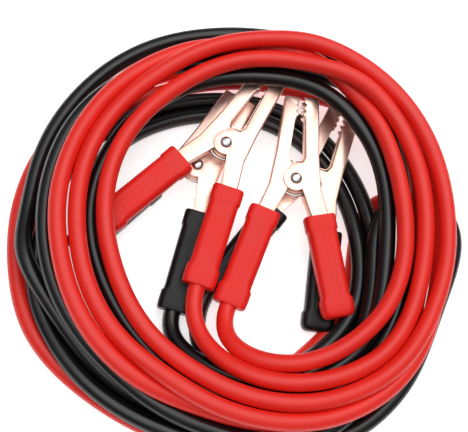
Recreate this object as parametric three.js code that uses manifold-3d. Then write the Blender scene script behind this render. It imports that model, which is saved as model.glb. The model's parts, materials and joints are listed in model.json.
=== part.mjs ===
// Car jumper cables: a red and a black booster cable, each with a spring clamp on both ends,
// lying as one loose coil with the four clamps inside it. Millimetres, +Z up.
// +Y points towards the tips of the jaws, and the floor is z = 0.
import * as THREE from "three";
import { mergeVertices } from "three/addons/utils/BufferGeometryUtils.js";
import Module from "manifold-3d";

const wasm = await Module();
wasm.setup();

// Cable
const cableDiameter = 13;
const turnGap = 0.3;
const seat = 0.3;
const lobeSides = 8;
const ringSegments = 32;
const leadSides = 8;

// Folded sheet of the clamps
const sheet = 1.5;
const channelHeight = 12.4;
const foldGap = 0.3;
const earRadius = 10;
const jawReach = 68;
const tipGap = 3.2;
const tipWidth = 12;
const slotFloor = 15;
const slotHalfWidth = 6.7;
const slotMouthHalfWidth = 4.2;
const toothCount = 3;
const toothPitch = 5.4;
const toothDepth = 2.2;
const shoulder = 20;
const backLean = 3.6;
const waistWidth = 20.6;
const waistHeight = -6;
const throatShare = 0.7;
const earFrom = -55;
const earTo = -232;
const earShelf = new THREE.Vector2(-4, 12.6);
const toothShares = [
  [0, 1],
  [0.3, 1],
  [0.5, 0.3],
  [0.75, 0],
  [0.96, 0.3],
];
const handleAngle = THREE.MathUtils.degToRad(15.5);
const handleStart = new THREE.Vector2(22, -30);
const handleWidth = 13;
const handleEnd = 58;
const handleTop = -3;

// Rivet and torsion spring
const rivetRadius = 3;
const rivetHeadRadius = 4.7;
const rivetHeadHeight = 2;
const boreGap = 0.3;
const springWire = 2;
const springRadius = 12.6;
const springTurns = 1.5;
const springSides = 6;
const springCoilGap = 0.3;
const springLegReach = 10;

// Grip sleeves
const sleeveLength = 80;
const sleeveWidth = 23;
const sleeveThickness = 15;
const sleeveCorner = 5;
const topCollarLength = 12;
const topCollarWidth = 25;
const endCollarLength = 15;
const endCollarWidth = 26;
const cableDepth = 14;
const cableBoreGap = 0.35;

// How the pile leans: the clamps and the upper turns rise towards the jaws
const clampSlope = Math.atan(0.103);
const layerGap = 0.3;

const steel = { color: 0xe6cdb4, roughness: 0.28, metalness: 1 };
const rivetSteel = { color: 0xd9dadb, roughness: 0.2, metalness: 1 };
const springSteel = { color: 0xa9a49c, roughness: 0.35, metalness: 1 };
const redVinyl = { color: 0xd8342c, roughness: 0.42, metalness: 0 };
const blackVinyl = { color: 0x141416, roughness: 0.45, metalness: 0 };
const redJacket = { color: 0xdb3930, roughness: 0.38, metalness: 0 };
const blackJacket = { color: 0x101012, roughness: 0.36, metalness: 0 };

function solidOf(geometry) {
  const bare = geometry.clone();
  bare.deleteAttribute("normal");
  bare.deleteAttribute("uv");
  const merged = mergeVertices(bare, 1e-4);
  const mesh = new wasm.Mesh({
    numProp: 3,
    vertProperties: merged.attributes.position.array,
    triVerts: new Uint32Array(merged.index.array),
  });
  return new wasm.Manifold(mesh);
}

function geometryOf(solid) {
  const mesh = solid.getMesh();
  const geometry = new THREE.BufferGeometry();
  geometry.setAttribute("position", new THREE.BufferAttribute(mesh.vertProperties, 3));
  geometry.setIndex(new THREE.BufferAttribute(mesh.triVerts, 1));
  geometry.computeVertexNormals();
  return geometry;
}

function named(name, geometry, finish) {
  const mesh = new THREE.Mesh(geometry, new THREE.MeshStandardMaterial(finish));
  mesh.name = name;
  return mesh;
}

// A flat outline made solid from one height to another.
function slab(points, bottom, top) {
  const shape = new THREE.Shape(points);
  const geometry = new THREE.ExtrudeGeometry(shape, { depth: top - bottom, bevelEnabled: false });
  return solidOf(geometry.translate(0, 0, bottom));
}

const point = (x, y) => new THREE.Vector2(x, y);

function arc(radius, from, to, steps) {
  const points = [];
  for (let i = 0; i <= steps; i++) {
    const angle = THREE.MathUtils.degToRad(from + ((to - from) * i) / steps);
    points.push(point(radius * Math.cos(angle), radius * Math.sin(angle)));
  }
  return points;
}

// Directions along a right-hand handle and across it, away from the other handle.
const alongHandle = point(Math.sin(handleAngle), -Math.cos(handleAngle));
const acrossHandle = point(Math.cos(handleAngle), Math.sin(handleAngle));

function onHandle(along, across) {
  return handleStart
    .clone()
    .addScaledVector(alongHandle, along)
    .addScaledVector(acrossHandle, across);
}

// The spine side of one clamp half, from the jaw tip to the end of its handle.
function spineEdge(inset) {
  const tipX = tipGap / 2 + tipWidth - inset;
  return [
    point(tipX, jawReach),
    point(tipX + backLean, shoulder),
    point(waistWidth - inset, waistHeight),
    onHandle(handleTop, handleWidth / 2 - inset),
    onHandle(handleEnd, handleWidth / 2 - inset),
  ];
}

// The rounded teeth at the tip, cut as scallops into the gripping edge: each of their points is
// a share of the pitch along the jaw and a share of the depth into it.
function toothEdge() {
  const points = [];
  const top = jawReach - 2;
  for (let tooth = toothCount - 1; tooth >= 0; tooth--) {
    const low = top - (tooth + 1) * toothPitch;
    for (const [up, deep] of toothShares) {
      points.push(point(tipGap / 2 + toothDepth * deep, low + toothPitch * up));
    }
  }
  points.push(point(tipGap / 2, jawReach));
  return points;
}

// The side plate of a right-hand half: handle, round ear, throat, gripping edge, tip and back.
function sidePlate() {
  const handleInner = -handleWidth / 2;
  return [
    onHandle(handleEnd, handleInner),
    onHandle(handleTop, handleInner),
    ...arc(earRadius, earFrom, earTo, 10),
    earShelf,
    point(slotHalfWidth * throatShare, slotFloor - 2),
    point(slotHalfWidth, slotFloor + 3),
    point(slotMouthHalfWidth, jawReach - 3 - toothCount * toothPitch),
    ...toothEdge(),
    ...spineEdge(0),
  ];
}

function mirrored(points) {
  return points.map((p) => point(-p.x, p.y)).reverse();
}

// One half: a channel folded from sheet, two side plates joined by the spine along its back.
// side is 1 for the right-hand half and -1 for the left-hand one.
function clampHalf(side, height) {
  const facing = (points) => (side > 0 ? points : mirrored(points));
  const half = height / 2;
  const plate = facing(sidePlate());
  const spine = facing([...spineEdge(0), ...spineEdge(sheet).reverse()]);
  let solid = slab(plate, half - sheet, half);
  solid = solid.add(slab(plate, -half, sheet - half));
  solid = solid.add(slab(spine, -half + sheet / 2, half - sheet / 2));
  const bore = new THREE.CylinderGeometry(rivetRadius + boreGap, rivetRadius + boreGap, height + 2, 16);
  return geometryOf(solid.subtract(solidOf(bore.rotateX(Math.PI / 2))));
}

function rivet() {
  const top = channelHeight / 2 + foldGap / 2;
  const profile = [point(0, -top - rivetHeadHeight)];
  profile.push(point(rivetHeadRadius * 0.6, -top - rivetHeadHeight * 0.8));
  profile.push(point(rivetHeadRadius, -top - rivetHeadHeight * 0.25));
  profile.push(point(rivetHeadRadius, -top));
  profile.push(point(rivetRadius, -top));
  const upper = profile.map((p) => point(p.x, -p.y)).reverse();
  return new THREE.LatheGeometry([...profile, ...upper], 14).rotateX(Math.PI / 2);
}

// A round bar along a smooth curve through the given places.
function bar(curve, radius, sides, steps) {
  const section = new THREE.Shape(arc(radius, 0, 360 - 360 / sides, sides - 1));
  return new THREE.ExtrudeGeometry(section, { steps, extrudePath: curve, bevelEnabled: false });
}

// The torsion spring: coils round the rivet, with one leg down into each handle.
function spring() {
  const places = [];
  const legX = (side) => side * (onHandle(springLegReach, 0).x + 1);
  const legY = onHandle(springLegReach, 0).y;
  const rise = (springWire + springCoilGap) / 360;
  const start = -150;
  const turn = springTurns * 360 - 60;
  const height = (turn * rise) / 2;
  places.push(new THREE.Vector3(legX(-1), legY, -height));
  places.push(new THREE.Vector3(legX(-1) * 0.75, legY * 0.62, -height));
  for (let step = 0; step <= 16; step++) {
    const degrees = (turn * step) / 16;
    const angle = THREE.MathUtils.degToRad(start - degrees);
    const x = springRadius * Math.cos(angle);
    const y = springRadius * Math.sin(angle);
    places.push(new THREE.Vector3(x, y, degrees * rise - height));
  }
  places.push(new THREE.Vector3(legX(1) * 0.75, legY * 0.62, height));
  places.push(new THREE.Vector3(legX(1), legY, height));
  const curve = new THREE.CatmullRomCurve3(places, false, "centripetal");
  return bar(curve, springWire / 2, springSides, 32);
}

function roundedBox(width, thickness, bottom, top) {
  const x = width / 2;
  const y = thickness / 2;
  const points = [];
  const corners = [
    [x - sleeveCorner, y - sleeveCorner, 0],
    [sleeveCorner - x, y - sleeveCorner, 90],
    [sleeveCorner - x, sleeveCorner - y, 180],
    [x - sleeveCorner, sleeveCorner - y, 270],
  ];
  for (const [cx, cy, from] of corners) {
    for (const p of arc(sleeveCorner, from, from + 90, 3)) points.push(point(cx + p.x, cy + p.y));
  }
  return slab(points, bottom, top);
}

// A moulded grip, made standing on its closed end: pocket for the handle, bore for the cable.
// gripTop is how far down the handle its open end sits.
function grip(height, withCable, gripTop) {
  const top = sleeveLength;
  let solid = roundedBox(sleeveWidth, sleeveThickness, 0, top);
  solid = solid.add(roundedBox(topCollarWidth, sleeveThickness, top - topCollarLength, top));
  solid = solid.add(roundedBox(endCollarWidth, sleeveThickness, 0, endCollarLength));
  const pocketX = handleWidth / 2 + foldGap;
  const pocketY = height / 2 + foldGap;
  const pocketFloor = top - handleEnd + gripTop - foldGap * 4;
  const pocket = [
    point(-pocketX, -pocketY),
    point(pocketX, -pocketY),
    point(pocketX, pocketY),
    point(-pocketX, pocketY),
  ];
  solid = solid.subtract(slab(pocket, pocketFloor, top + 1));
  if (withCable) {
    const bore = cableDiameter / 2 + cableBoreGap;
    const round = new THREE.CylinderGeometry(bore, bore, cableDepth + 2, 20).rotateX(Math.PI / 2);
    solid = solid.subtract(solidOf(round.translate(0, 0, (cableDepth + 2) / 2 - 1)));
  }
  return geometryOf(solid);
}

// Sets a grip over the handle on the given side of a clamp.
function placeGrip(mesh, side, gripTop) {
  const start = onHandle(gripTop, 0);
  const end = onHandle(gripTop + sleeveLength, 0);
  mesh.position.set(side * end.x, end.y, 0);
  const up = new THREE.Vector3(side * (start.x - end.x), start.y - end.y, 0).normalize();
  const flat = new THREE.Vector3(0, 0, 1);
  const sideways = new THREE.Vector3().crossVectors(flat, up);
  mesh.quaternion.setFromRotationMatrix(new THREE.Matrix4().makeBasis(sideways, flat, up));
  return mesh;
}

// Places of the clamps: pivot in the plane of the pile, turn to the right in degrees, layer,
// which side carries the cable, and how far down the handles the grips are pushed on.
const lowerLayer = sleeveThickness / 2;
const upperLayer = lowerLayer + sleeveThickness + layerGap;
const clamps = [
  { name: "red_a", pivot: [-24, 60.6], turn: 33, layer: upperLayer, cable: 1, gripTop: -1, finish: redVinyl },
  { name: "red_b", pivot: [30.8, 33], turn: 6, layer: upperLayer, cable: -1, gripTop: -3, finish: redVinyl },
  { name: "black_a", pivot: [-45, 46.5], turn: 31, layer: lowerLayer, cable: 1, gripTop: 1.7, finish: blackVinyl },
  { name: "black_b", pivot: [50, 33], turn: 23, layer: lowerLayer, cable: -1, gripTop: 1.7, finish: blackVinyl },
];

const innerHeight = channelHeight - 2 * sheet - 2 * foldGap;

function clamp({ name, pivot, turn, layer, cable, gripTop, finish }) {
  const group = new THREE.Group();
  const sides = [
    { side: 1, word: "right", height: channelHeight },
    { side: -1, word: "left", height: innerHeight },
  ];
  for (const { side, word, height } of sides) {
    group.add(named(`${name}_${word}_half`, clampHalf(side, height), steel));
    const sleeve = named(`${name}_${word}_grip`, grip(height, side === cable, gripTop), finish);
    group.add(placeGrip(sleeve, side, gripTop));
  }
  group.add(named(`${name}_rivet`, rivet(), rivetSteel));
  group.add(named(`${name}_spring`, spring(), springSteel));
  group.position.set(pivot[0], pivot[1], layer);
  group.rotation.z = -THREE.MathUtils.degToRad(turn);
  return group;
}

// The outer shape of some turns lying side by side, or stacked, as one turned ring.
// radii and heights are those of the turns' centres; neighbours are joined by a thick web.
function coilRing(turns) {
  const r = cableDiameter / 2;
  const web = r * 0.6;
  const flat = 180 / lobeSides;
  const circle = ([x, y]) => {
    const radius = r / Math.cos(THREE.MathUtils.degToRad(flat));
    const points = arc(radius, flat, 360 - flat, lobeSides - 1);
    return points.map((p) => point(x + p.x, y + p.y));
  };
  const ring = (points) => solidOf(new THREE.LatheGeometry([...points, points[0]], ringSegments));
  let solid = ring(circle(turns[0]));
  for (let i = 1; i < turns.length; i++) {
    const from = point(...turns[i - 1]);
    const to = point(...turns[i]);
    const across = to.clone().sub(from).normalize().rotateAround(point(0, 0), Math.PI / 2);
    const corners = [
      from.clone().addScaledVector(across, -web),
      to.clone().addScaledVector(across, -web),
      to.clone().addScaledVector(across, web),
      from.clone().addScaledVector(across, web),
    ];
    solid = solid.add(ring(circle(turns[i]))).add(ring(corners));
  }
  return geometryOf(solid).rotateX(Math.PI / 2);
}

const r = cableDiameter / 2;
const layerPitch = cableDiameter + turnGap;

// The leaning pile of clamps. Its lowest grip stands on the floor.
const pile = new THREE.Group();
const clampGroups = clamps.map(clamp);
pile.add(...clampGroups);
pile.rotation.x = clampSlope;

function clampBox() {
  const box = new THREE.Box3();
  for (const group of clampGroups) {
    group.parent.updateWorldMatrix(true, true);
    box.union(new THREE.Box3().setFromObject(group, true));
  }
  return box;
}
pile.position.z = -clampBox().min.z;
pile.updateMatrixWorld(true);

// The lower turns lie flat on the floor and on each other.
const redLowerTurn = 130;
const redLower = named("red_cable_coil_lower", coilRing([[redLowerTurn, 0], [redLowerTurn + layerPitch, 0]]), redJacket);
redLower.position.set(-41, -28, r);
const blackLowerTurn = 155;
const blackLower = named(
  "black_cable_coil_lower",
  coilRing([[blackLowerTurn, 0], [blackLowerTurn + layerPitch, 0]]),
  blackJacket,
);
blackLower.position.set(-14, -2, r + layerPitch);

// The upper turns lean: the lower black turns carry them in front, and the jaws behind.
const blackUpperTurn = 122;
const blackUpperCentre = point(-8, -8);
const redTurnPitch = 15.9;
const redUpperTurn = 116.5;
const frontRestAt = -158;
const backRestAt = 116;
const frontRest = new THREE.Vector3(0, frontRestAt, blackLower.position.z + r + seat);
const overTheJaws = new THREE.Vector3(0, backRestAt, upperLayer + channelHeight / 2 + seat);
const backRest = pile.localToWorld(overTheJaws);
const turnsSlope = Math.atan2(backRest.z - frontRest.z, backRest.y - frontRest.y);
const turns = new THREE.Group();
turns.rotation.x = turnsSlope;
turns.position.copy(frontRest);
turns.position.z += (r - frontRest.y * Math.sin(turnsSlope)) / Math.cos(turnsSlope);
turns.position.y = r * Math.sin(turnsSlope);
const blackUpper = named(
  "black_cable_coil_upper",
  coilRing([[blackUpperTurn, 0], [blackUpperTurn + layerPitch, 0], [blackUpperTurn + 2 * layerPitch, 0]]),
  blackJacket,
);
blackUpper.position.set(blackUpperCentre.x, blackUpperCentre.y, 0);
const redUpper = named(
  "red_cable_coil_upper",
  coilRing([[redUpperTurn, 0], [redUpperTurn + redTurnPitch, 0], [redUpperTurn + 2 * redTurnPitch, 0]]),
  redJacket,
);
redUpper.position.set(0, 0, layerPitch);
turns.add(blackUpper, redUpper);
turns.updateMatrixWorld(true);

// A place on the axis of a clamp's cable, beyond the end of the grip that it enters.
function cableEnd({ pivot, turn, layer, cable, gripTop }, beyond) {
  const place = onHandle(gripTop + sleeveLength + beyond, 0);
  const angle = -THREE.MathUtils.degToRad(turn);
  const flat = point(cable * place.x, place.y).rotateAround(point(0, 0), angle);
  return pile.localToWorld(new THREE.Vector3(pivot[0] + flat.x, pivot[1] + flat.y, layer));
}

// A lead from inside a grip, along hand-chosen places, to the coil that it belongs to,
// which it touches at a place given in the frame of the leaning turns.
function lead(owner, places, touching) {
  const points = [
    cableEnd(owner, 1 - cableDepth),
    cableEnd(owner, 0),
    cableEnd(owner, 6),
    ...places.map((p) => new THREE.Vector3(...p)),
    turns.localToWorld(new THREE.Vector3(...touching)),
  ];
  const curve = new THREE.CatmullRomCurve3(points, false, "centripetal");
  return bar(curve, r, leadSides, 20);
}

const underBlack = -cableDiameter - seat;
const [redA, redB, blackA, blackB] = clamps;
const leads = [
  named(
    "red_a_lead",
    lead(redA, [[-48.5, -84, 25], [-38, -99.5, 27], [-22, -109.5, 30], [-4, -114.3, 35]], [10, -114, -seat]),
    redJacket,
  ),
  named(
    "red_b_lead",
    lead(
      redB,
      [[-22, -93, 24.5], [-9, -100.5, 26.5], [9, -99, 31], [28, -93, 37], [48, -84, 43], [68, -70.5, 50]],
      [87, -55.5, layerPitch],
    ),
    redJacket,
  ),
  named(
    "black_a_lead",
    lead(blackA, [[-59.5, -100, 12], [-49, -116, 16], [-32, -126, 20]], [-15, -130, underBlack]),
    blackJacket,
  ),
  named(
    "black_b_lead",
    lead(
      blackB,
      [[-34, -76, 10.5], [-29, -90, 11], [-17, -103, 13], [1, -112, 17], [20, -118, 21]],
      [38, -121, underBlack],
    ),
    blackJacket,
  ),
];

// The set of cables, moved so that the clamps are centred on the origin.
const cables = new THREE.Group();
const middle = clampBox().getCenter(new THREE.Vector3());
cables.add(pile, turns, ...leads, redLower, blackLower);
cables.position.set(-middle.x, -middle.y, 0);

export default cables;
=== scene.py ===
# %% [markdown]
# # Car jumper cables
# A red and a black booster cable lie as one loose coil, with four spring clamps inside it.
# The CAD model gives every size and place. This script dresses it: the cables become two real
# lengths of wire that wind round from clamp to clamp, and the clamps get folded sheet, moulded
# grips, domed rivets and wound springs. All lengths are in metres, with +Z up from the floor
# and +Y towards the tips of the jaws.

# %% Load the frame
import json
import math

import bpy
import numpy as np
from mathutils import Matrix, Vector


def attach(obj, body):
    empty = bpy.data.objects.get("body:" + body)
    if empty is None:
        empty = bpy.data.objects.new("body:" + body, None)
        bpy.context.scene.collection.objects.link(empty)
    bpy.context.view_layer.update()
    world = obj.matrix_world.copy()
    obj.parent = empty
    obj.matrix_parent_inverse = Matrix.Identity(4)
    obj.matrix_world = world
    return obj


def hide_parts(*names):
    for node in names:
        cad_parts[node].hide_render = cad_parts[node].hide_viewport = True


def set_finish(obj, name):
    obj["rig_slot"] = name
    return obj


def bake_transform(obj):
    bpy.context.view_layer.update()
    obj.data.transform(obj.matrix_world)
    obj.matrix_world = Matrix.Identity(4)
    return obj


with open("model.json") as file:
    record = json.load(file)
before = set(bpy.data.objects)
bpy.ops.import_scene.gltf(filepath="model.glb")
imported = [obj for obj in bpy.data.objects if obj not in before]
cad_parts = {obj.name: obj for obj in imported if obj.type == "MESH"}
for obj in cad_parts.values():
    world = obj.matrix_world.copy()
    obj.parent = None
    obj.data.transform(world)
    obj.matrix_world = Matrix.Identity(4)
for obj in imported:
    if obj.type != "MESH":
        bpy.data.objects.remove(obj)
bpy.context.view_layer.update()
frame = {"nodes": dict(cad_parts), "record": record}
MM = 0.001

# %% [markdown]
# ## Camera
# The photograph looks down steeply from in front of the coil, a little from its left. The
# camera could be aimed with a Track To constraint, but the picture is also rolled a few
# degrees, so its three axes are set directly, which fixes place, aim and roll in one matrix.

# %% Camera
camera_place = Vector((-0.0672, -0.2316, 0.6263))
camera_right = Vector((0.992, -0.0215, 0.124))
camera_back = Vector((-0.1237, -0.3363, 0.9336)).normalized()
camera_up = camera_back.cross(camera_right).normalized()
camera_right = camera_up.cross(camera_back)
camera = bpy.data.objects.new("camera", bpy.data.cameras.new("camera"))
bpy.context.collection.objects.link(camera)
axes = Matrix((camera_right, camera_up, camera_back)).transposed()
camera.matrix_world = Matrix.Translation(camera_place) @ axes.to_4x4()
camera.data.sensor_width = 36
camera.data.lens = 63.59
bpy.context.scene.camera = camera
print("camera", round(camera_place.length, 3), "m from the origin")

# %% [markdown]
# ## Clamps: where they are
# The four clamps are the same product in two colours. Each is modelled in its own frame, with
# the pivot at the origin and the jaws along +Y, and then moved to its place in the pile: the
# pivot comes from the joint in the record, the pile leans, and each clamp is turned in it. The
# grips are pushed a little further up the handles of the red clamps than of the black ones.

# %% Frames of the clamps
PILE_SLOPE = math.atan(0.103)
TURNS = {"red_a": 33, "red_b": 6, "black_a": 31, "black_b": 23}
GRIP_TOPS = {"red_a": -1, "red_b": -3, "black_a": 1.7, "black_b": 1.7}
WITH_CABLE = {"red_a": "right", "red_b": "left", "black_a": "right", "black_b": "left"}
MOVING = {"red_a": "left", "red_b": "right", "black_a": "left", "black_b": "right"}
joints = {joint["name"]: joint for joint in frame["record"]["behaviour"]["joints"]}


def clamp_frame(name):
    pivot = Matrix.Translation(joints[f"{name}_pivot"]["pos_m"])
    lean = Matrix.Rotation(PILE_SLOPE, 4, "X")
    turn = Matrix.Rotation(-math.radians(TURNS[name]), 4, "Z")
    return pivot @ lean @ turn


def body_of_side(name, side):
    return f"{name}_{side}_side" if side == MOVING[name] else "cables"


placing = {name: clamp_frame(name) for name in TURNS}
print("pivots", {name: [round(v, 3) for v in m.translation] for name, m in placing.items()})

# %% [markdown]
# A handle runs out from the waist of its clamp at a fixed angle, and the grip and the end of
# the cable lie on its line. So places along a handle are worked out from that line, which
# keeps the sheet, the grip and the cable in step with each other.

# %% Places on a handle
HANDLE_ANGLE = math.radians(15.5)
GRIP_LENGTH = 80.0
along_handle = Vector((math.sin(HANDLE_ANGLE), -math.cos(HANDLE_ANGLE), 0))
across_handle = Vector((math.cos(HANDLE_ANGLE), math.sin(HANDLE_ANGLE), 0))


def on_handle(along, across=0.0):
    return Vector((22, -30, 0)) + along_handle * along + across_handle * across


def sleeve_frame(clamp, side):
    sign = 1 if side == "right" else -1
    start = on_handle(GRIP_TOPS[clamp])
    end = on_handle(GRIP_TOPS[clamp] + GRIP_LENGTH)
    up = Vector((sign * (start.x - end.x), start.y - end.y, 0)).normalized()
    flat = Vector((0, 0, 1))
    basis = Matrix((flat.cross(up), flat, up)).transposed().to_4x4()
    return Matrix.Translation(Vector((sign * end.x, end.y, 0)) * MM) @ basis


def cable_end(clamp, beyond):
    grip_end = placing[clamp] @ sleeve_frame(clamp, WITH_CABLE[clamp])
    return tuple(grip_end @ Vector((0, 0, -beyond * MM)) / MM)


print("cables leave at", {name: [round(v) for v in cable_end(name, 0)] for name in TURNS})

# %% [markdown]
# ## Cables
# Each cable is 13 mm of stranded wire in soft vinyl, about 5 m long, and it winds round the
# coil several times on its way from one clamp to the other. A tidy helix would be quick to
# make, but a hand-wound coil is never tidy: turns cross, climb over each other and drift
# apart. So the way of each cable is given as places in millimetres that follow the
# photograph where it shows the cable and the floor where it doesn't.

# %% Ways of the two cables
CABLE_DIAMETER = 13.0
RED_WAY = [
    (-19, -104, 27), (-6, -120, 33), (10, -134, 39), (28, -143, 44), (48, -147, 48),
    (68, -146, 50), (89, -141, 50), (111, -131, 50), (127, -118, 51), (143, -84, 54),
    (153, -43, 58), (153, 0, 62), (145, 34, 65), (121, 72, 68), (87, 91, 69), (39, 100, 70),
    (-9, 89, 69), (-55, 55, 66), (-77, 23, 63), (-86, -18, 60), (-81, -57, 57), (-63, -100, 53),
    (-46, -120, 51), (-20, -139, 50), (7, -153, 49), (41, -161, 48), (75, -160, 48),
    (105, -149, 49), (133, -129, 51), (153, -97, 53), (167, -64, 56), (171, -22, 60),
    (168, 12, 62), (155, 49, 66), (127, 86, 69), (88, 109, 71), (39, 116, 71), (-9, 107, 71),
    (-49, 84, 69), (-84, 50, 65), (-103, 5, 62), (-105, -38, 58), (-97, -77, 55),
    (-79, -110, 52), (-50, -140, 49), (-19, -158, 48), (16, -170, 47), (51, -174, 45),
    (86, -167, 43), (119, -149, 41), (147, -119, 41), (163, -80, 43), (170, -38, 45),
    (170, 0, 46), (164, 45, 44), (147, 85, 38), (119, 113, 28), (83, 128, 16), (41, 132, 8),
    (1, 128, 6.5), (-44, 116, 6.5), (-89, 95, 6.5), (-123, 64, 6.5), (-145, 26, 6.5),
    (-154, -12, 6.5), (-153, -50, 6.5), (-143, -85, 6.5), (-120, -124, 6.5), (-87, -153, 6.5),
    (-47, -175, 6.5), (-7, -184, 6.5), (36, -182, 6.5), (77, -169, 6.5), (113, -147, 6.5),
    (141, -118, 6.5), (159, -83, 6.5), (168, -45, 6.5), (182, -22, 6.5), (177.5, -5.5, 6.5),
    (165.5, 6.5, 6.5), (149, 11, 6.5), (132.5, 6.5, 6.5), (120.5, -5.5, 6.5), (116, -22, 6.5),
    (111, -44, 6.5), (106, -66, 6.5), (101, -88, 6.5), (83, -107, 6.5), (59, -125, 6.5),
    (36, -148, 6.5), (6, -164, 6.5), (-29, -164, 6.5), (-69, -149, 6.5), (-100, -125, 6.5),
    (-123, -92, 6.5), (-135, -55, 6.5), (-138, -15, 6.5), (-132, 25, 6.5), (-113, 57, 6.5),
    (-79, 84, 6.5), (-34, 103, 6.5), (6, 112, 6.5), (41, 112, 6.5), (77, 104, 8), (108, 89, 19),
    (131, 71, 32), (151, 42, 44), (156, 0, 45), (155, -45, 43), (145, -88, 40), (124, -125, 37),
    (91, -154, 34), (51, -172, 33), (6, -168, 37), (-34, -155, 42), (-66, -138, 47),
    (-89, -117, 52), (-105, -92, 54), (-116, -58, 57), (-120, -19, 60), (-114, 14, 62),
    (-98, 48, 64), (-67, 84, 63), (-24, 104, 60), (21, 112, 59), (61, 108, 59), (96, 90, 59),
    (119, 62, 60), (131, 25, 62), (137, -10, 61), (137, -44, 58), (130, -75, 55),
    (113, -102, 53), (90, -121, 51), (62, -132, 49), (39, -134, 45), (19, -129, 41),
    (6, -119, 36), (1, -106, 29),
]
BLACK_WAY = [
    (-36, -106, 13), (-27, -120, 18), (-10, -129, 24), (6, -139, 29), (28, -147, 33),
    (53, -150, 35), (79, -142, 37), (99, -124, 38), (114, -100, 40), (123, -65, 43),
    (128, -30, 46), (128, 5, 49), (119, 40, 52), (99, 70, 55), (71, 87, 56), (41, 92, 56),
    (1, 89, 56), (-34, 77, 55), (-63, 54, 53), (-85, 24, 50), (-96, -10, 47), (-95, -45, 45),
    (-84, -76, 42), (-67, -105, 39), (-44, -131, 37), (-14, -149, 35), (21, -160, 34),
    (56, -163, 34), (89, -152, 35), (118, -126, 37), (135, -90, 40), (141, -50, 44),
    (142, -5, 47), (137, 38, 51), (118, 74, 54), (89, 97, 57), (51, 106, 58), (11, 107, 58),
    (-29, 103, 58), (-65, 88, 56), (-97, 66, 53), (-117, 36, 51), (-128, -2, 48),
    (-129, -40, 45), (-121, -74, 42), (-105, -104, 39), (-83, -130, 37), (-51, -154, 35),
    (-17, -172, 32), (21, -184, 28), (61, -183, 25), (103, -164, 22), (141, -132, 20),
    (168, -90, 20), (181, -50, 20), (183, -10, 20), (179, 30, 20), (165, 70, 20),
    (141, 106, 20), (103, 136, 20), (49, 150, 20), (-3, 149, 20), (-51, 136, 20),
    (-93, 107, 20), (-123, 68, 20), (-140, 25, 20), (-144, -15, 20), (-140, -52, 20),
    (-128, -82, 20), (-111, -110, 20), (-87, -135, 20), (-55, -156, 20), (-17, -169, 20),
    (21, -169, 20), (53, -158, 22), (81, -140, 25), (102, -116, 28), (116, -86, 30),
    (121, -52, 31), (122, -32, 33), (126.5, -15.5, 33), (138.5, -3.5, 33), (155, 1, 34),
    (171.5, -3.5, 34), (183, -15.5, 33), (187, -32, 33), (177, -62, 31), (161, -100, 28),
    (137, -140, 24), (99, -171, 21), (51, -186, 20), (6, -188, 20), (-35, -177, 20),
    (-73, -159, 20), (-103, -134, 17), (-124, -102, 13), (-137, -66, 12), (-133, -25, 16),
    (-121, 15, 19), (-103, 46, 17), (-75, 68, 12), (-44, 86, 8), (-4, 94, 6.5), (39, 92, 6.5),
    (79, 72, 7), (105, 40, 11), (118, 5, 16), (123, -32, 20), (122, -65, 21), (111, -98, 22),
    (89, -126, 22), (56, -146, 21), (16, -150, 21), (-24, -140, 23), (-59, -118, 26),
    (-84, -88, 28), (-97, -52, 29), (-100, -15, 26), (-95, 20, 20), (-79, 48, 11),
    (-49, 70, 6.5), (-9, 80, 6.5), (36, 78, 6.5), (73, 58, 6.5), (97, 26, 9), (108, -8, 15),
    (113, -45, 20), (109, -76, 21), (96, -102, 22), (76, -124, 22), (51, -135, 20),
    (31, -138, 17), (12, -136, 14), (-6, -127, 11.5), (-16, -111, 10),
]
print(len(RED_WAY), "red places and", len(BLACK_WAY), "black ones")

# %% [markdown]
# A smooth curve through the places comes from the Catmull-Rom formula, which passes through
# every one. It is then cut into steps of equal length, so that all later work can treat the
# cable as a chain of short links.


# %% Smooth curve through places
def smooth_way(places, step):
    ends = [2 * np.array(places[0]) - places[1], 2 * np.array(places[-1]) - places[-2]]
    chain = np.vstack([ends[0], places, ends[1]])
    share = np.linspace(0, 1, 24, endpoint=False)[:, None]
    pieces = []
    for a, b, c, d in zip(chain, chain[1:], chain[2:], chain[3:]):
        bend = (2 * a - 5 * b + 4 * c - d) * share**2 + (3 * b - a - 3 * c + d) * share**3
        pieces.append(0.5 * (2 * b + (c - a) * share + bend))
    line = np.vstack(pieces + [chain[-2:-1]])
    along = np.r_[0, np.cumsum(np.linalg.norm(np.diff(line, axis=0), axis=1))]
    count = int(round(along[-1] / step))
    stops = np.linspace(0, along[-1], count + 1)
    return np.stack([np.interp(stops, along, line[:, k]) for k in range(3)], 1)


print("the red way in steps of 8 mm has", len(smooth_way(RED_WAY, 8)), "links")

# %% [markdown]
# Listed places never keep two soft cables exactly apart where they cross. A rigid body
# or cloth simulation of wire this long is slow and drifts away from the photograph. Instead
# the chains settle in small rounds: links that are too close push each other away, each cable
# straightens a little as its stiffness would make it, and nothing sinks into the floor.

# %% Settle the cables against each other
STEP = 8.0
CLEARANCE = CABLE_DIAMETER + 0.2
FLOOR = CABLE_DIAMETER / 2


def straighten(chain, stiffness):
    bend = np.zeros_like(chain)
    bend[1:-1] = (chain[:-2] + chain[2:]) / 2 - chain[1:-1]
    change = np.zeros_like(chain)
    change[2:-2] = (bend[1:-3] + bend[3:-1]) / 2 - bend[2:-2]
    return chain - change * stiffness


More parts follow.
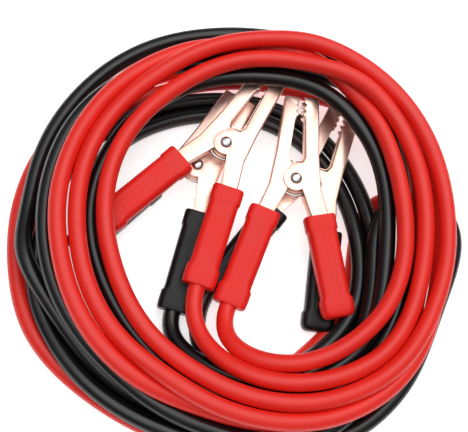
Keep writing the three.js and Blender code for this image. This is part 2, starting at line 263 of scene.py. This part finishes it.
def settle(first, second, rounds=150):
    links = np.vstack([first, second])
    home = links.copy()
    split = len(first)
    number = np.arange(len(links))
    owner = number >= split
    near = np.abs(number[:, None] - number[None]) < 6
    ignored = (owner[:, None] == owner[None]) & near
    ignored |= number[:, None] >= number[None]
    held = np.r_[0:3, split - 3 : split + 3, len(links) - 3 : len(links)]
    for k in range(rounds):
        square = (links**2).sum(1)
        apart = square[:, None] + square[None] - 2 * links @ links.T
        i, j = np.nonzero((apart < CLEARANCE**2) & ~ignored)
        gap = links[i] - links[j]
        length = np.maximum(np.linalg.norm(gap, axis=1), 1e-6)[:, None]
        push = gap / length * (CLEARANCE - length) * 0.25
        np.add.at(links, i, push)
        np.add.at(links, j, -push)
        links = np.vstack([straighten(links[:split], 0.35), straighten(links[split:], 0.35)])
        if k < rounds * 0.6:
            links += (home - links) * 0.01
        links[:, 2] = np.maximum(links[:, 2], FLOOR)
        links[held] = home[held]
    return links[:split], links[split:]


def whole_way(colour, way):
    start = [cable_end(f"{colour}_a", beyond) for beyond in (-13, 0, 10)]
    end = [cable_end(f"{colour}_b", beyond) for beyond in (10, 0, -13)]
    return start + way + end


red_way = whole_way("red", RED_WAY)
black_way = whole_way("black", BLACK_WAY)
red_line, black_line = settle(smooth_way(red_way, STEP), smooth_way(black_way, STEP))


def tightest_bend(line):
    before = line[1:-1] - line[:-2]
    after = line[2:] - line[1:-1]
    step = np.linalg.norm(after, axis=1)
    share = (before * after).sum(1) / step / np.linalg.norm(before, axis=1)
    radius = step / np.maximum(np.arccos(np.clip(share, -1, 1)), 1e-6)
    return radius.min().round(), line[radius.argmin() + 1].round()


for name, line in (("red", red_line), ("black", black_line)):
    print(name, "cable is", round(np.linalg.norm(np.diff(line, axis=0), axis=1).sum()), "mm long")
    print("its tightest bend, and where:", *tightest_bend(line))

# %% [markdown]
# A cable is round all along, so a curve with a bevel depth makes it directly: the curve's own
# line stays the centreline, which is also what the cord rules measure. The thickness is set as
# each point's own radius, times a depth of 1, so that the curve's box fits the cable. The links
# are smoothed once more on the way, because the eye finds every corner in a long highlight.


# %% Build the cables as bevelled curves
def cable_curve(name, line):
    points = smooth_way(line.tolist(), 4.0) * MM
    data = bpy.data.curves.new(name, "CURVE")
    data.dimensions = "3D"
    data.bevel_depth = 1
    data.bevel_resolution = 6
    data.use_fill_caps = True
    spline = data.splines.new("POLY")
    spline.points.add(len(points) - 1)
    spline.points.foreach_set("co", np.c_[points, np.ones(len(points))].ravel())
    spline.points.foreach_set("radius", np.full(len(points), CABLE_DIAMETER / 2 * MM))
    spline.use_smooth = True
    cable = bpy.data.objects.new(name, data)
    bpy.context.collection.objects.link(cable)
    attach(cable, "cables")
    return cable


cables = {
    "red": cable_curve("red_cable", red_line),
    "black": cable_curve("black_cable", black_line),
}
for colour, cable in cables.items():
    leads = [f"{colour}_{letter}_lead" for letter in "ab"]
    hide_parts(*leads, f"{colour}_cable_coil_lower", f"{colour}_cable_coil_upper")
    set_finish(cable, f"{colour}_jacket")
    print(cable.name, "stands for", len(leads) + 2, "CAD nodes")

# %% [markdown]
# Small helpers save repeating the same operator steps. Operators act on whatever is selected,
# so each step starts by selecting one object alone.


# %% Helpers for selecting and finishing
def only(piece):
    bpy.ops.object.select_all(action="DESELECT")
    piece.select_set(True)
    bpy.context.view_layer.objects.active = piece


def apply_all(piece):
    only(piece)
    for modifier in list(piece.modifiers):
        bpy.ops.object.modifier_apply(modifier=modifier.name)


def soften_edges(piece, width, segments=2, angle=30):
    bevel = piece.modifiers.new("bevel", "BEVEL")
    bevel.width = width * MM
    bevel.segments = segments
    bevel.limit_method = "ANGLE"
    bevel.angle_limit = math.radians(angle)
    apply_all(piece)
    bpy.ops.object.shade_smooth_by_angle(angle=math.radians(40))


def bake_place(piece, matrix):
    piece.data.transform(matrix @ piece.matrix_world)
    piece.matrix_world = Matrix.Identity(4)
    piece.data.update()


bpy.ops.object.select_all(action="DESELECT")
print("nothing is selected")

# %% [markdown]
# ## Clamps: folded sheet
# A jaw and its handle are one strip of 1.5 mm steel folded to a channel and plated with
# copper. The CAD solid has the right shape already, but its folds are sharp. A copy of its
# mesh is cleaned up, its long folds are rounded as a press brake leaves them, and the cut
# edges get a fine bevel so that they catch the light.

# %% Folded halves
SPINE = [(13.6, 68), (17.2, 20), (20.6, -6)]
SPINE += [tuple(on_handle(along, 6.5).xy) for along in (-3, 58)]


def copy_of_node(node, name):
    mesh = frame["nodes"][node].data.copy()
    mesh.materials.clear()
    piece = bpy.data.objects.new(name, mesh)
    bpy.context.collection.objects.link(piece)
    return piece


def select_folds(piece, inverse):
    mesh = piece.data
    at_fold = []
    for vertex in mesh.vertices:
        place = inverse @ vertex.co / MM
        near = min(math.hypot(abs(place.x) - x, place.y - y) for x, y in SPINE)
        at_fold.append(near < 0.15)
    for edge in mesh.edges:
        a, b = edge.vertices
        run = (inverse.to_3x3() @ (mesh.vertices[a].co - mesh.vertices[b].co)).normalized()
        edge.select = at_fold[a] and at_fold[b] and abs(run.z) < 0.1
    return sum(edge.select for edge in mesh.edges)


def folded_half(clamp, side):
    node = f"{clamp}_{side}_half"
    piece = copy_of_node(node, f"{clamp}_{side}_folded_half")
    only(piece)
    bpy.ops.object.mode_set(mode="EDIT")
    bpy.ops.mesh.select_all(action="SELECT")
    bpy.ops.mesh.remove_doubles(threshold=1e-6)
    bpy.ops.mesh.dissolve_limited(angle_limit=math.radians(1))
    bpy.ops.mesh.select_all(action="DESELECT")
    bpy.ops.mesh.select_mode(type="EDGE")
    bpy.ops.object.mode_set(mode="OBJECT")
    found = select_folds(piece, placing[clamp].inverted())
    bpy.ops.object.mode_set(mode="EDIT")
    bpy.ops.mesh.bevel(offset=1.3 * MM, segments=3, affect="EDGES", clamp_overlap=True)
    bpy.ops.object.mode_set(mode="OBJECT")
    soften_edges(piece, 0.28)
    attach(piece, body_of_side(clamp, side))
    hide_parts(node)
    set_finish(piece, "clamp_plate")
    print(piece.name, "has", found, "rounded folds")
    return piece


halves = [folded_half(clamp, side) for clamp in TURNS for side in ("left", "right")]

# %% [markdown]
# ## Clamps: rivet
# The halves turn on one rivet with a smooth domed head on each side. A sphere would bulge too
# much, so a short cylinder is the start: each end face is inset a hair, widened to the head's
# radius, and then raised and drawn in step by step, which rounds the head like a button.

# %% Domed rivets
RIVET_RADIUS = 3.0
HEAD_RADIUS = 4.7
PLATE_TOP = 6.35
HAIR_INSET = 0.0001
DRAWN_IN = (0.0, 0.25, 0.45, 0.7, 0.95, 1.05, 0.8)
RAISED = (0.2, 0.45, 0.5, 0.5, 0.42, 0.26, 0.09)


def grow_head(piece, direction):
    bpy.ops.object.mode_set(mode="OBJECT")
    for face in piece.data.polygons:
        face.select = face.normal.z * direction > 0.9 and face.center.z * direction > 0
    bpy.ops.object.mode_set(mode="EDIT")
    bpy.ops.mesh.inset(thickness=HAIR_INSET * MM, use_outset=False)
    grow = HEAD_RADIUS / RIVET_RADIUS
    bpy.ops.transform.resize(value=(grow, grow, 1), center_override=(0, 0, 0))
    radius = HEAD_RADIUS
    for inset, rise in zip(DRAWN_IN, RAISED):
        move = {"value": (0, 0, direction * rise * MM)}
        bpy.ops.mesh.extrude_region_move(TRANSFORM_OT_translate=move)
        if inset:
            share = 1 - inset / radius
            radius -= inset
            bpy.ops.transform.resize(value=(share, share, 1), center_override=(0, 0, 0))
    bpy.ops.object.mode_set(mode="OBJECT")


def rivet(clamp):
    bpy.ops.object.select_all(action="DESELECT")
    bpy.ops.mesh.primitive_cylinder_add(
        vertices=40, radius=RIVET_RADIUS * MM, depth=2 * PLATE_TOP * MM
    )
    piece = bpy.context.active_object
    piece.name = f"{clamp}_domed_rivet"
    bpy.ops.object.mode_set(mode="EDIT")
    bpy.ops.mesh.select_mode(type="FACE")
    grow_head(piece, 1)
    grow_head(piece, -1)
    only(piece)
    bpy.ops.object.shade_smooth_by_angle(angle=math.radians(50))
    bake_place(piece, placing[clamp])
    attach(piece, "cables")
    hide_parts(f"{clamp}_rivet")
    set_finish(piece, "rivet")
    return piece


rivets = [rivet(clamp) for clamp in TURNS]
print(len(rivets), "rivets, each", round(2 * (PLATE_TOP + sum(RAISED)), 1), "mm long")

# %% [markdown]
# ## Clamps: torsion spring
# The wire winds one and a half times round the rivet and lies along the inside of each
# handle. A bevelled curve follows it, and it is then made a mesh.

# %% Torsion springs
SPRING_WIRE = 2.0
SPRING_RADIUS = 12.6
SPRING_LEG = 10
COIL_GAP = 0.3


def spring_places():
    leg = on_handle(SPRING_LEG) + Vector((1, 0, 0))
    turn = 480
    rise = (SPRING_WIRE + COIL_GAP) / 360
    low = -turn * rise / 2
    places = [(-leg.x, leg.y, low), (-leg.x * 0.75, leg.y * 0.62, low)]
    for k in range(25):
        angle = math.radians(-150 - turn * k / 24)
        height = low + turn * k / 24 * rise
        places.append((SPRING_RADIUS * math.cos(angle), SPRING_RADIUS * math.sin(angle), height))
    places += [(leg.x * 0.75, leg.y * 0.62, -low), (leg.x, leg.y, -low)]
    return places


def spring(clamp):
    points = smooth_way(spring_places(), 1.6) * MM
    data = bpy.data.curves.new(f"{clamp}_wound_spring", "CURVE")
    data.dimensions = "3D"
    data.bevel_depth = SPRING_WIRE / 2 * MM
    data.bevel_resolution = 3
    data.use_fill_caps = True
    spline = data.splines.new("POLY")
    spline.points.add(len(points) - 1)
    spline.points.foreach_set("co", np.c_[points, np.ones(len(points))].ravel())
    piece = bpy.data.objects.new(f"{clamp}_wound_spring", data)
    bpy.context.collection.objects.link(piece)
    only(piece)
    bpy.ops.object.convert(target="MESH")
    piece = bpy.context.active_object
    bpy.ops.object.shade_smooth()
    place = placing[clamp]
    bake_place(piece, place)
    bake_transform(piece)
    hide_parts(f"{clamp}_spring")
    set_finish(piece, "spring")
    return piece


springs = [spring(clamp) for clamp in TURNS]
print(len(springs), "springs of", len(springs[0].data.vertices), "vertices")

# %% [markdown]
# ## Clamps: copper link
# A thin copper strip joins the two jaws inside the clamp, so that current flows through both.
# It shows as a bright curve at the bottom of the slot. A flat wire could be a thin box, but
# it has to follow a U, so a row of edges is extruded along that U and given a thickness.

# %% Copper links
LINK_WIDTH = 5.2
LINK = [(3.4, 48), (4.0, 40), (4.7, 31), (5.3, 23), (5.2, 18.5)]
LINK += [(3.6, 15.9), (0.8, 15.2), (-2.2, 15.2), (-4.6, 15.6)]


def copper_link(clamp):
    mesh = bpy.data.meshes.new(f"{clamp}_copper_link")
    line = smooth_way([(x, y, -LINK_WIDTH / 2) for x, y in LINK], 1.5) * MM
    edges = [(k, k + 1) for k in range(len(line) - 1)]
    mesh.from_pydata(line.tolist(), edges, [])
    piece = bpy.data.objects.new(mesh.name, mesh)
    bpy.context.collection.objects.link(piece)
    only(piece)
    bpy.ops.object.mode_set(mode="EDIT")
    bpy.ops.mesh.select_mode(type="VERT")
    bpy.ops.mesh.select_all(action="SELECT")
    bpy.ops.mesh.extrude_region_move(TRANSFORM_OT_translate={"value": (0, 0, LINK_WIDTH * MM)})
    bpy.ops.object.mode_set(mode="OBJECT")
    wall = piece.modifiers.new("wall", "SOLIDIFY")
    wall.thickness = 0.6 * MM
    wall.offset = 0
    soften_edges(piece, 0.12)
    place = placing[clamp]
    bake_place(piece, place)
    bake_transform(piece)
    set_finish(piece, "clamp_plate")
    return piece


links = [copper_link(clamp) for clamp in TURNS]
print(len(links), "copper links")

# %% [markdown]
# ## Clamps: moulded grips
# Each handle wears a thick vinyl sleeve with a collar at both ends and shallow ribs along it.
# The mould's shape changes only along its length, so the sleeve grows from one outline: it
# is extruded from station to station, and the new ring is set to the width and thickness that
# the sleeve has there. The cable leaves through a round bore, and a sleeve without a cable
# has a rounded closed end.

# %% Outline of a sleeve
CORNER_STEPS = 4
FLAT_STEPS = 12
SIDE_STEPS = 2
POCKET_WIDTH = 13.8
POCKET_FLOOR = 62
BORE_RADIUS = 6.8
BORE_DEPTH = 14


def sleeve_outline(width, thickness, corner, rib=0.0):
    x = width / 2 - corner
    y = thickness / 2 - corner
    places = []
    sides = [
        ((x, -y), (x, y), SIDE_STEPS, 0),
        ((x, y), (-x, y), FLAT_STEPS, 90),
        ((-x, y), (-x, -y), SIDE_STEPS, 180),
        ((-x, -y), (x, -y), FLAT_STEPS, 270),
    ]
    for (ax, ay), (bx, by), steps, facing in sides:
        out = (math.cos(math.radians(facing)), math.sin(math.radians(facing)))
        for k in range(steps):
            share = k / steps
            wave = rib * math.cos(6 * math.pi * share) if steps == FLAT_STEPS else 0
            reach = corner + wave
            along_x = ax + (bx - ax) * share
            along_y = ay + (by - ay) * share
            places.append((along_x + out[0] * reach, along_y + out[1] * reach))
        for k in range(CORNER_STEPS):
            angle = math.radians(facing + 90 * k / CORNER_STEPS)
            reach = corner + (rib if k == 0 and steps == FLAT_STEPS else 0)
            places.append((bx + reach * math.cos(angle), by + reach * math.sin(angle)))
    return places


print("a sleeve outline has", len(sleeve_outline(23, 15, 5)), "places")


# %% [markdown]
# The sleeve starts as one flat face with the outline's number of corners. Each extrude makes
# a new ring, which is then laid on the outline of its station. The pocket for the handle and
# the bore for the cable are grown inwards from the end faces in the same way.

# %% Grow a sleeve from its outline
def set_ring(piece, outline, height):
    bpy.ops.object.mode_set(mode="OBJECT")
    ring = [vertex for vertex in piece.data.vertices if vertex.select]
    for vertex, (x, y) in zip(ring, outline):
        vertex.co = (x * MM, y * MM, height * MM)
    bpy.ops.object.mode_set(mode="EDIT")


def grow_ring(piece, outline, height):
    bpy.ops.mesh.extrude_region_move()
    set_ring(piece, outline, height)


def pick_end(piece, direction):
    bpy.ops.object.mode_set(mode="OBJECT")
    faces = piece.data.polygons
    end = max(faces, key=lambda face: face.center.z * direction * 1000 + len(face.vertices))
    for face in faces:
        face.select = face == end
    bpy.ops.object.mode_set(mode="EDIT")


def round_bore():
    angles = [math.atan2(y, x) for x, y in sleeve_outline(14.2, 14.2, 7)]
    return [(BORE_RADIUS * math.cos(a), BORE_RADIUS * math.sin(a)) for a in angles]


def sleeve(name, pocket_height, with_cable):
    count = len(sleeve_outline(23, 15, 5))
    bpy.ops.object.select_all(action="DESELECT")
    bpy.ops.mesh.primitive_circle_add(vertices=count, radius=0.01, fill_type="NGON")
    piece = bpy.context.active_object
    piece.name = name
    bpy.ops.object.mode_set(mode="EDIT")
    bpy.ops.mesh.select_mode(type="VERT")
    bpy.ops.mesh.select_all(action="SELECT")
    if with_cable:
        stations = [(0, 23.6, 14.2, 5, 0), (1.0, 25.4, 15, 5, 0)]
    else:
        stations = [(0, 19, 10, 4.6, 0), (1.2, 22.6, 13, 5, 0), (3.4, 25, 14.6, 5.2, 0)]
    stations += [(6, 26, 15, 5, 0), (13.6, 25.8, 15, 5, 0), (15.4, 23.2, 14.6, 5, 0)]
    stations += [(18, 22.8, 14.5, 5, 0.12), (42, 23, 14.6, 5, 0.14), (65, 23, 14.5, 5, 0.12)]
    stations += [(67.4, 23, 14.6, 5, 0), (68.6, 24.8, 15, 5, 0), (78.6, 25, 15, 5, 0)]
    stations += [(80, 23.8, 14.4, 4.6, 0)]
    for number, (height, width, thickness, corner, rib) in enumerate(stations):
        outline = sleeve_outline(width, thickness, corner, rib)
        if number == 0:
            set_ring(piece, outline, height)
        else:
            grow_ring(piece, outline, height)
    bpy.ops.mesh.select_mode(type="FACE")
    pick_end(piece, 1)
    pocket = sleeve_outline(POCKET_WIDTH, pocket_height, 1)
    grow_ring(piece, pocket, GRIP_LENGTH)
    grow_ring(piece, pocket, POCKET_FLOOR)
    if with_cable:
        pick_end(piece, -1)
        grow_ring(piece, round_bore(), 0)
        grow_ring(piece, round_bore(), BORE_DEPTH)
    bpy.ops.mesh.select_all(action="SELECT")
    bpy.ops.mesh.normals_make_consistent(inside=False)
    bpy.ops.object.mode_set(mode="OBJECT")
    return piece


print("the pocket is", GRIP_LENGTH - POCKET_FLOOR, "mm deep and the bore", BORE_DEPTH, "mm")

# %% [markdown]
# Every clamp has one sleeve with a cable and one without. The right half is the taller
# channel, so its sleeve has the taller pocket. Each sleeve replaces the plain solid of its
# grip and rides on the same body.

# %% Set the sleeves on the handles
def grip(clamp, side):
    height = 13.0 if side == "right" else 9.4
    piece = sleeve(f"{clamp}_{side}_sleeve", height, WITH_CABLE[clamp] == side)
    soften_edges(piece, 0.55, segments=3, angle=24)
    bake_place(piece, placing[clamp] @ sleeve_frame(clamp, side))
    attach(piece, body_of_side(clamp, side))
    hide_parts(f"{clamp}_{side}_grip")
    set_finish(piece, f"{clamp.split('_')[0]}_grip")
    return piece


grips = [grip(clamp, side) for clamp in TURNS for side in ("left", "right")]
print(len(grips), "grips of", len(grips[0].data.polygons), "faces")

# %% [markdown]
# ## Materials
# Vinyl, plated steel and spring wire all show the same two small effects at different
# strengths: a cloudy change of colour from handling, and a fine grain that breaks up the
# highlights. They are built once as a node group. It puts out a colour, a roughness and a
# height, and each material gives it its own numbers.


# %% Node group for handled surfaces
def add_socket(group, name, kind, output=False, value=None):
    direction = "OUTPUT" if output else "INPUT"
    socket = group.interface.new_socket(name=name, in_out=direction, socket_type=kind)
    if value is not None:
        socket.default_value = value


def handled_group():
    group = bpy.data.node_groups.new("handled surface", "ShaderNodeTree")
    add_socket(group, "Colour", "NodeSocketColor")
    add_socket(group, "Shade", "NodeSocketColor")
    add_socket(group, "Cloud size", "NodeSocketFloat", value=60)
    add_socket(group, "Grain size", "NodeSocketFloat", value=900)
    add_socket(group, "Smooth", "NodeSocketFloat", value=0.3)
    add_socket(group, "Rough", "NodeSocketFloat", value=0.5)
    add_socket(group, "Colour", "NodeSocketColor", output=True)
    add_socket(group, "Roughness", "NodeSocketFloat", output=True)
    add_socket(group, "Height", "NodeSocketFloat", output=True)
    nodes, link = group.nodes, group.links.new
    given = nodes.new("NodeGroupInput")
    result = nodes.new("NodeGroupOutput")
    where = nodes.new("ShaderNodeTexCoord")
    cloud = nodes.new("ShaderNodeTexNoise")
    cloud.inputs["Detail"].default_value = 3
    grain = nodes.new("ShaderNodeTexNoise")
    grain.inputs["Detail"].default_value = 2
    mix = nodes.new("ShaderNodeMix")
    mix.data_type = "RGBA"
    spread = nodes.new("ShaderNodeMapRange")
    spread.inputs["From Min"].default_value = 0.35
    spread.inputs["From Max"].default_value = 0.65
    rough = nodes.new("ShaderNodeMapRange")
    rough.inputs["From Min"].default_value = 0.3
    rough.inputs["From Max"].default_value = 0.7
    link(where.outputs["Object"], cloud.inputs["Vector"])
    link(where.outputs["Object"], grain.inputs["Vector"])
    link(given.outputs["Cloud size"], cloud.inputs["Scale"])
    link(given.outputs["Grain size"], grain.inputs["Scale"])
    link(cloud.outputs["Fac"], spread.inputs["Value"])
    link(spread.outputs["Result"], mix.inputs["Factor"])
    link(given.outputs["Shade"], mix.inputs["A"])
    link(given.outputs["Colour"], mix.inputs["B"])
    link(cloud.outputs["Fac"], rough.inputs["Value"])
    link(given.outputs["Smooth"], rough.inputs["To Min"])
    link(given.outputs["Rough"], rough.inputs["To Max"])
    link(mix.outputs["Result"], result.inputs["Colour"])
    link(rough.outputs["Result"], result.inputs["Roughness"])
    link(grain.outputs["Fac"], result.inputs["Height"])
    return group


handled = handled_group()
print("group", handled.name, "has", len(handled.nodes), "nodes")


# %% [markdown]
# One function makes a material from the group and a Principled shader. What is the same all
# over a surface, such as how metallic it is, is set on the shader's own socket.


# %% Materials from the group
def finish_of(
    name, colour, shade, cloud, grain, smooth, rough, bump, metallic=0.0, specular=0.5
):
    material = bpy.data.materials.new(name)
    material.use_nodes = True
    nodes, link = material.node_tree.nodes, material.node_tree.links.new
    shader = nodes["Principled BSDF"]
    surface = nodes.new("ShaderNodeGroup")
    surface.node_tree = handled
    surface.inputs["Colour"].default_value = (*colour, 1)
    surface.inputs["Shade"].default_value = (*shade, 1)
    surface.inputs["Cloud size"].default_value = cloud
    surface.inputs["Grain size"].default_value = grain
    surface.inputs["Smooth"].default_value = smooth
    surface.inputs["Rough"].default_value = rough
    relief = nodes.new("ShaderNodeBump")
    relief.inputs["Strength"].default_value = 0.6
    relief.inputs["Distance"].default_value = bump * MM
    link(surface.outputs["Colour"], shader.inputs["Base Color"])
    link(surface.outputs["Roughness"], shader.inputs["Roughness"])
    link(surface.outputs["Height"], relief.inputs["Height"])
    link(relief.outputs["Normal"], shader.inputs["Normal"])
    shader.inputs["Metallic"].default_value = metallic
    shader.inputs["Specular IOR Level"].default_value = specular
    return material


finishes = {
    "clamp_plate": finish_of(
        name="copper_plated_sheet",
        colour=(0.97, 0.66, 0.56),
        shade=(0.94, 0.60, 0.49),
        cloud=90,
        grain=1500,
        smooth=0.34,
        rough=0.46,
        bump=0.02,
        metallic=1.0,
    ),
    "rivet": finish_of(
        name="polished_rivet",
        colour=(0.88, 0.88, 0.89),
        shade=(0.8, 0.8, 0.81),
        cloud=200,
        grain=2500,
        smooth=0.1,
        rough=0.16,
        bump=0.005,
        metallic=1.0,
    ),
    "spring": finish_of(
        name="drawn_spring_wire",
        colour=(0.72, 0.7, 0.67),
        shade=(0.6, 0.57, 0.53),
        cloud=300,
        grain=2500,
        smooth=0.25,
        rough=0.38,
        bump=0.01,
        metallic=1.0,
    ),
    "red_grip": finish_of(
        name="red_moulded_vinyl",
        colour=(0.84, 0.012, 0.006),
        shade=(0.78, 0.01, 0.005),
        cloud=45,
        grain=1400,
        smooth=0.42,
        rough=0.55,
        bump=0.04,
        specular=0.35,
    ),
    "black_grip": finish_of(
        name="black_moulded_vinyl",
        colour=(0.004, 0.004, 0.0045),
        shade=(0.003, 0.003, 0.0035),
        cloud=45,
        grain=1400,
        smooth=0.34,
        rough=0.44,
        bump=0.04,
        specular=0.25,
    ),
    "red_jacket": finish_of(
        name="red_cable_vinyl",
        colour=(0.84, 0.018, 0.009),
        shade=(0.8, 0.015, 0.007),
        cloud=30,
        grain=1000,
        smooth=0.4,
        rough=0.5,
        bump=0.02,
    ),
    "black_jacket": finish_of(
        name="black_cable_vinyl",
        colour=(0.004, 0.004, 0.0045),
        shade=(0.0025, 0.0025, 0.003),
        cloud=30,
        grain=1000,
        smooth=0.27,
        rough=0.36,
        bump=0.02,
    ),
}
dressed = list(cables.values()) + halves + rivets + springs + links + grips
for piece in dressed:
    piece.data.materials.clear()
    piece.data.materials.append(finishes[piece["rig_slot"]])
slots = {part["node"]: part["material_slot"] for part in frame["record"]["subparts"]}
for node, solid in frame["nodes"].items():
    for place in solid.material_slots:
        place.material = finishes[slots[node]]
print(len(finishes), "finishes on", len(dressed), "pieces")

# %% [markdown]
# ## Floor and light
# The photograph is a shadowless studio shot on white. One long soft panel hangs above, where
# the flat sides of the clamps mirror it. The world is bright above and darker at the horizon,
# which gives the rounded metal its dark edges. The floor is white paper, lit a little from
# behind like a product table, so that the shadows stay pale.

# %% Floor and lights
bpy.ops.object.select_all(action="DESELECT")
bpy.ops.mesh.primitive_plane_add(size=60, location=(0, 0, -0.0003))
floor = bpy.context.active_object
floor.name = "floor"
paper = bpy.data.materials.new("white_paper")
paper.use_nodes = True
paper.node_tree.nodes["Principled BSDF"].inputs["Base Color"].default_value = (0.93, 0.93, 0.93, 1)
paper.node_tree.nodes["Principled BSDF"].inputs["Emission Color"].default_value = (1, 1, 1, 1)
paper.node_tree.nodes["Principled BSDF"].inputs["Emission Strength"].default_value = 0.6
paper.node_tree.nodes["Principled BSDF"].inputs["Roughness"].default_value = 0.9
floor.data.materials.append(paper)


def soft_light(name, place, size, power, aim=(0, 0, 0)):
    data = bpy.data.lights.new(name, "AREA")
    data.shape = "RECTANGLE"
    data.size, data.size_y = size
    data.energy = power
    light = bpy.data.objects.new(name, data)
    bpy.context.collection.objects.link(light)
    light.location = place
    light.rotation_euler = (Vector(aim) - Vector(place)).to_track_quat("-Z", "Y").to_euler()
    return light


soft_light("panel_above", (0.33, 0.31, 1.6), (1.1, 3.4), 23)
world = bpy.data.worlds.new("studio")
bpy.context.scene.world = world
world.use_nodes = True
sky = world.node_tree.nodes["Background"]
height = world.node_tree.nodes.new("ShaderNodeTexCoord")
split = world.node_tree.nodes.new("ShaderNodeSeparateXYZ")
ramp = world.node_tree.nodes.new("ShaderNodeValToRGB")
ramp.color_ramp.elements[0].position = 0.45
ramp.color_ramp.elements[0].color = (0.1, 0.1, 0.11, 1)
ramp.color_ramp.elements[1].position = 0.95
ramp.color_ramp.elements[1].color = (1, 1, 1, 1)
world.node_tree.links.new(height.outputs["Generated"], split.inputs["Vector"])
world.node_tree.links.new(split.outputs["Z"], ramp.inputs["Fac"])
world.node_tree.links.new(ramp.outputs["Color"], sky.inputs["Color"])
sky.inputs["Strength"].default_value = 0.9
bpy.context.scene.view_settings.view_transform = "Standard"
print("stage is set")

# %% [markdown]
# Each cable is a free cord that leaves one clamp and goes back into another. Last, the
# view layer is updated.

# %% Update the view layer
bpy.context.view_layer.update()
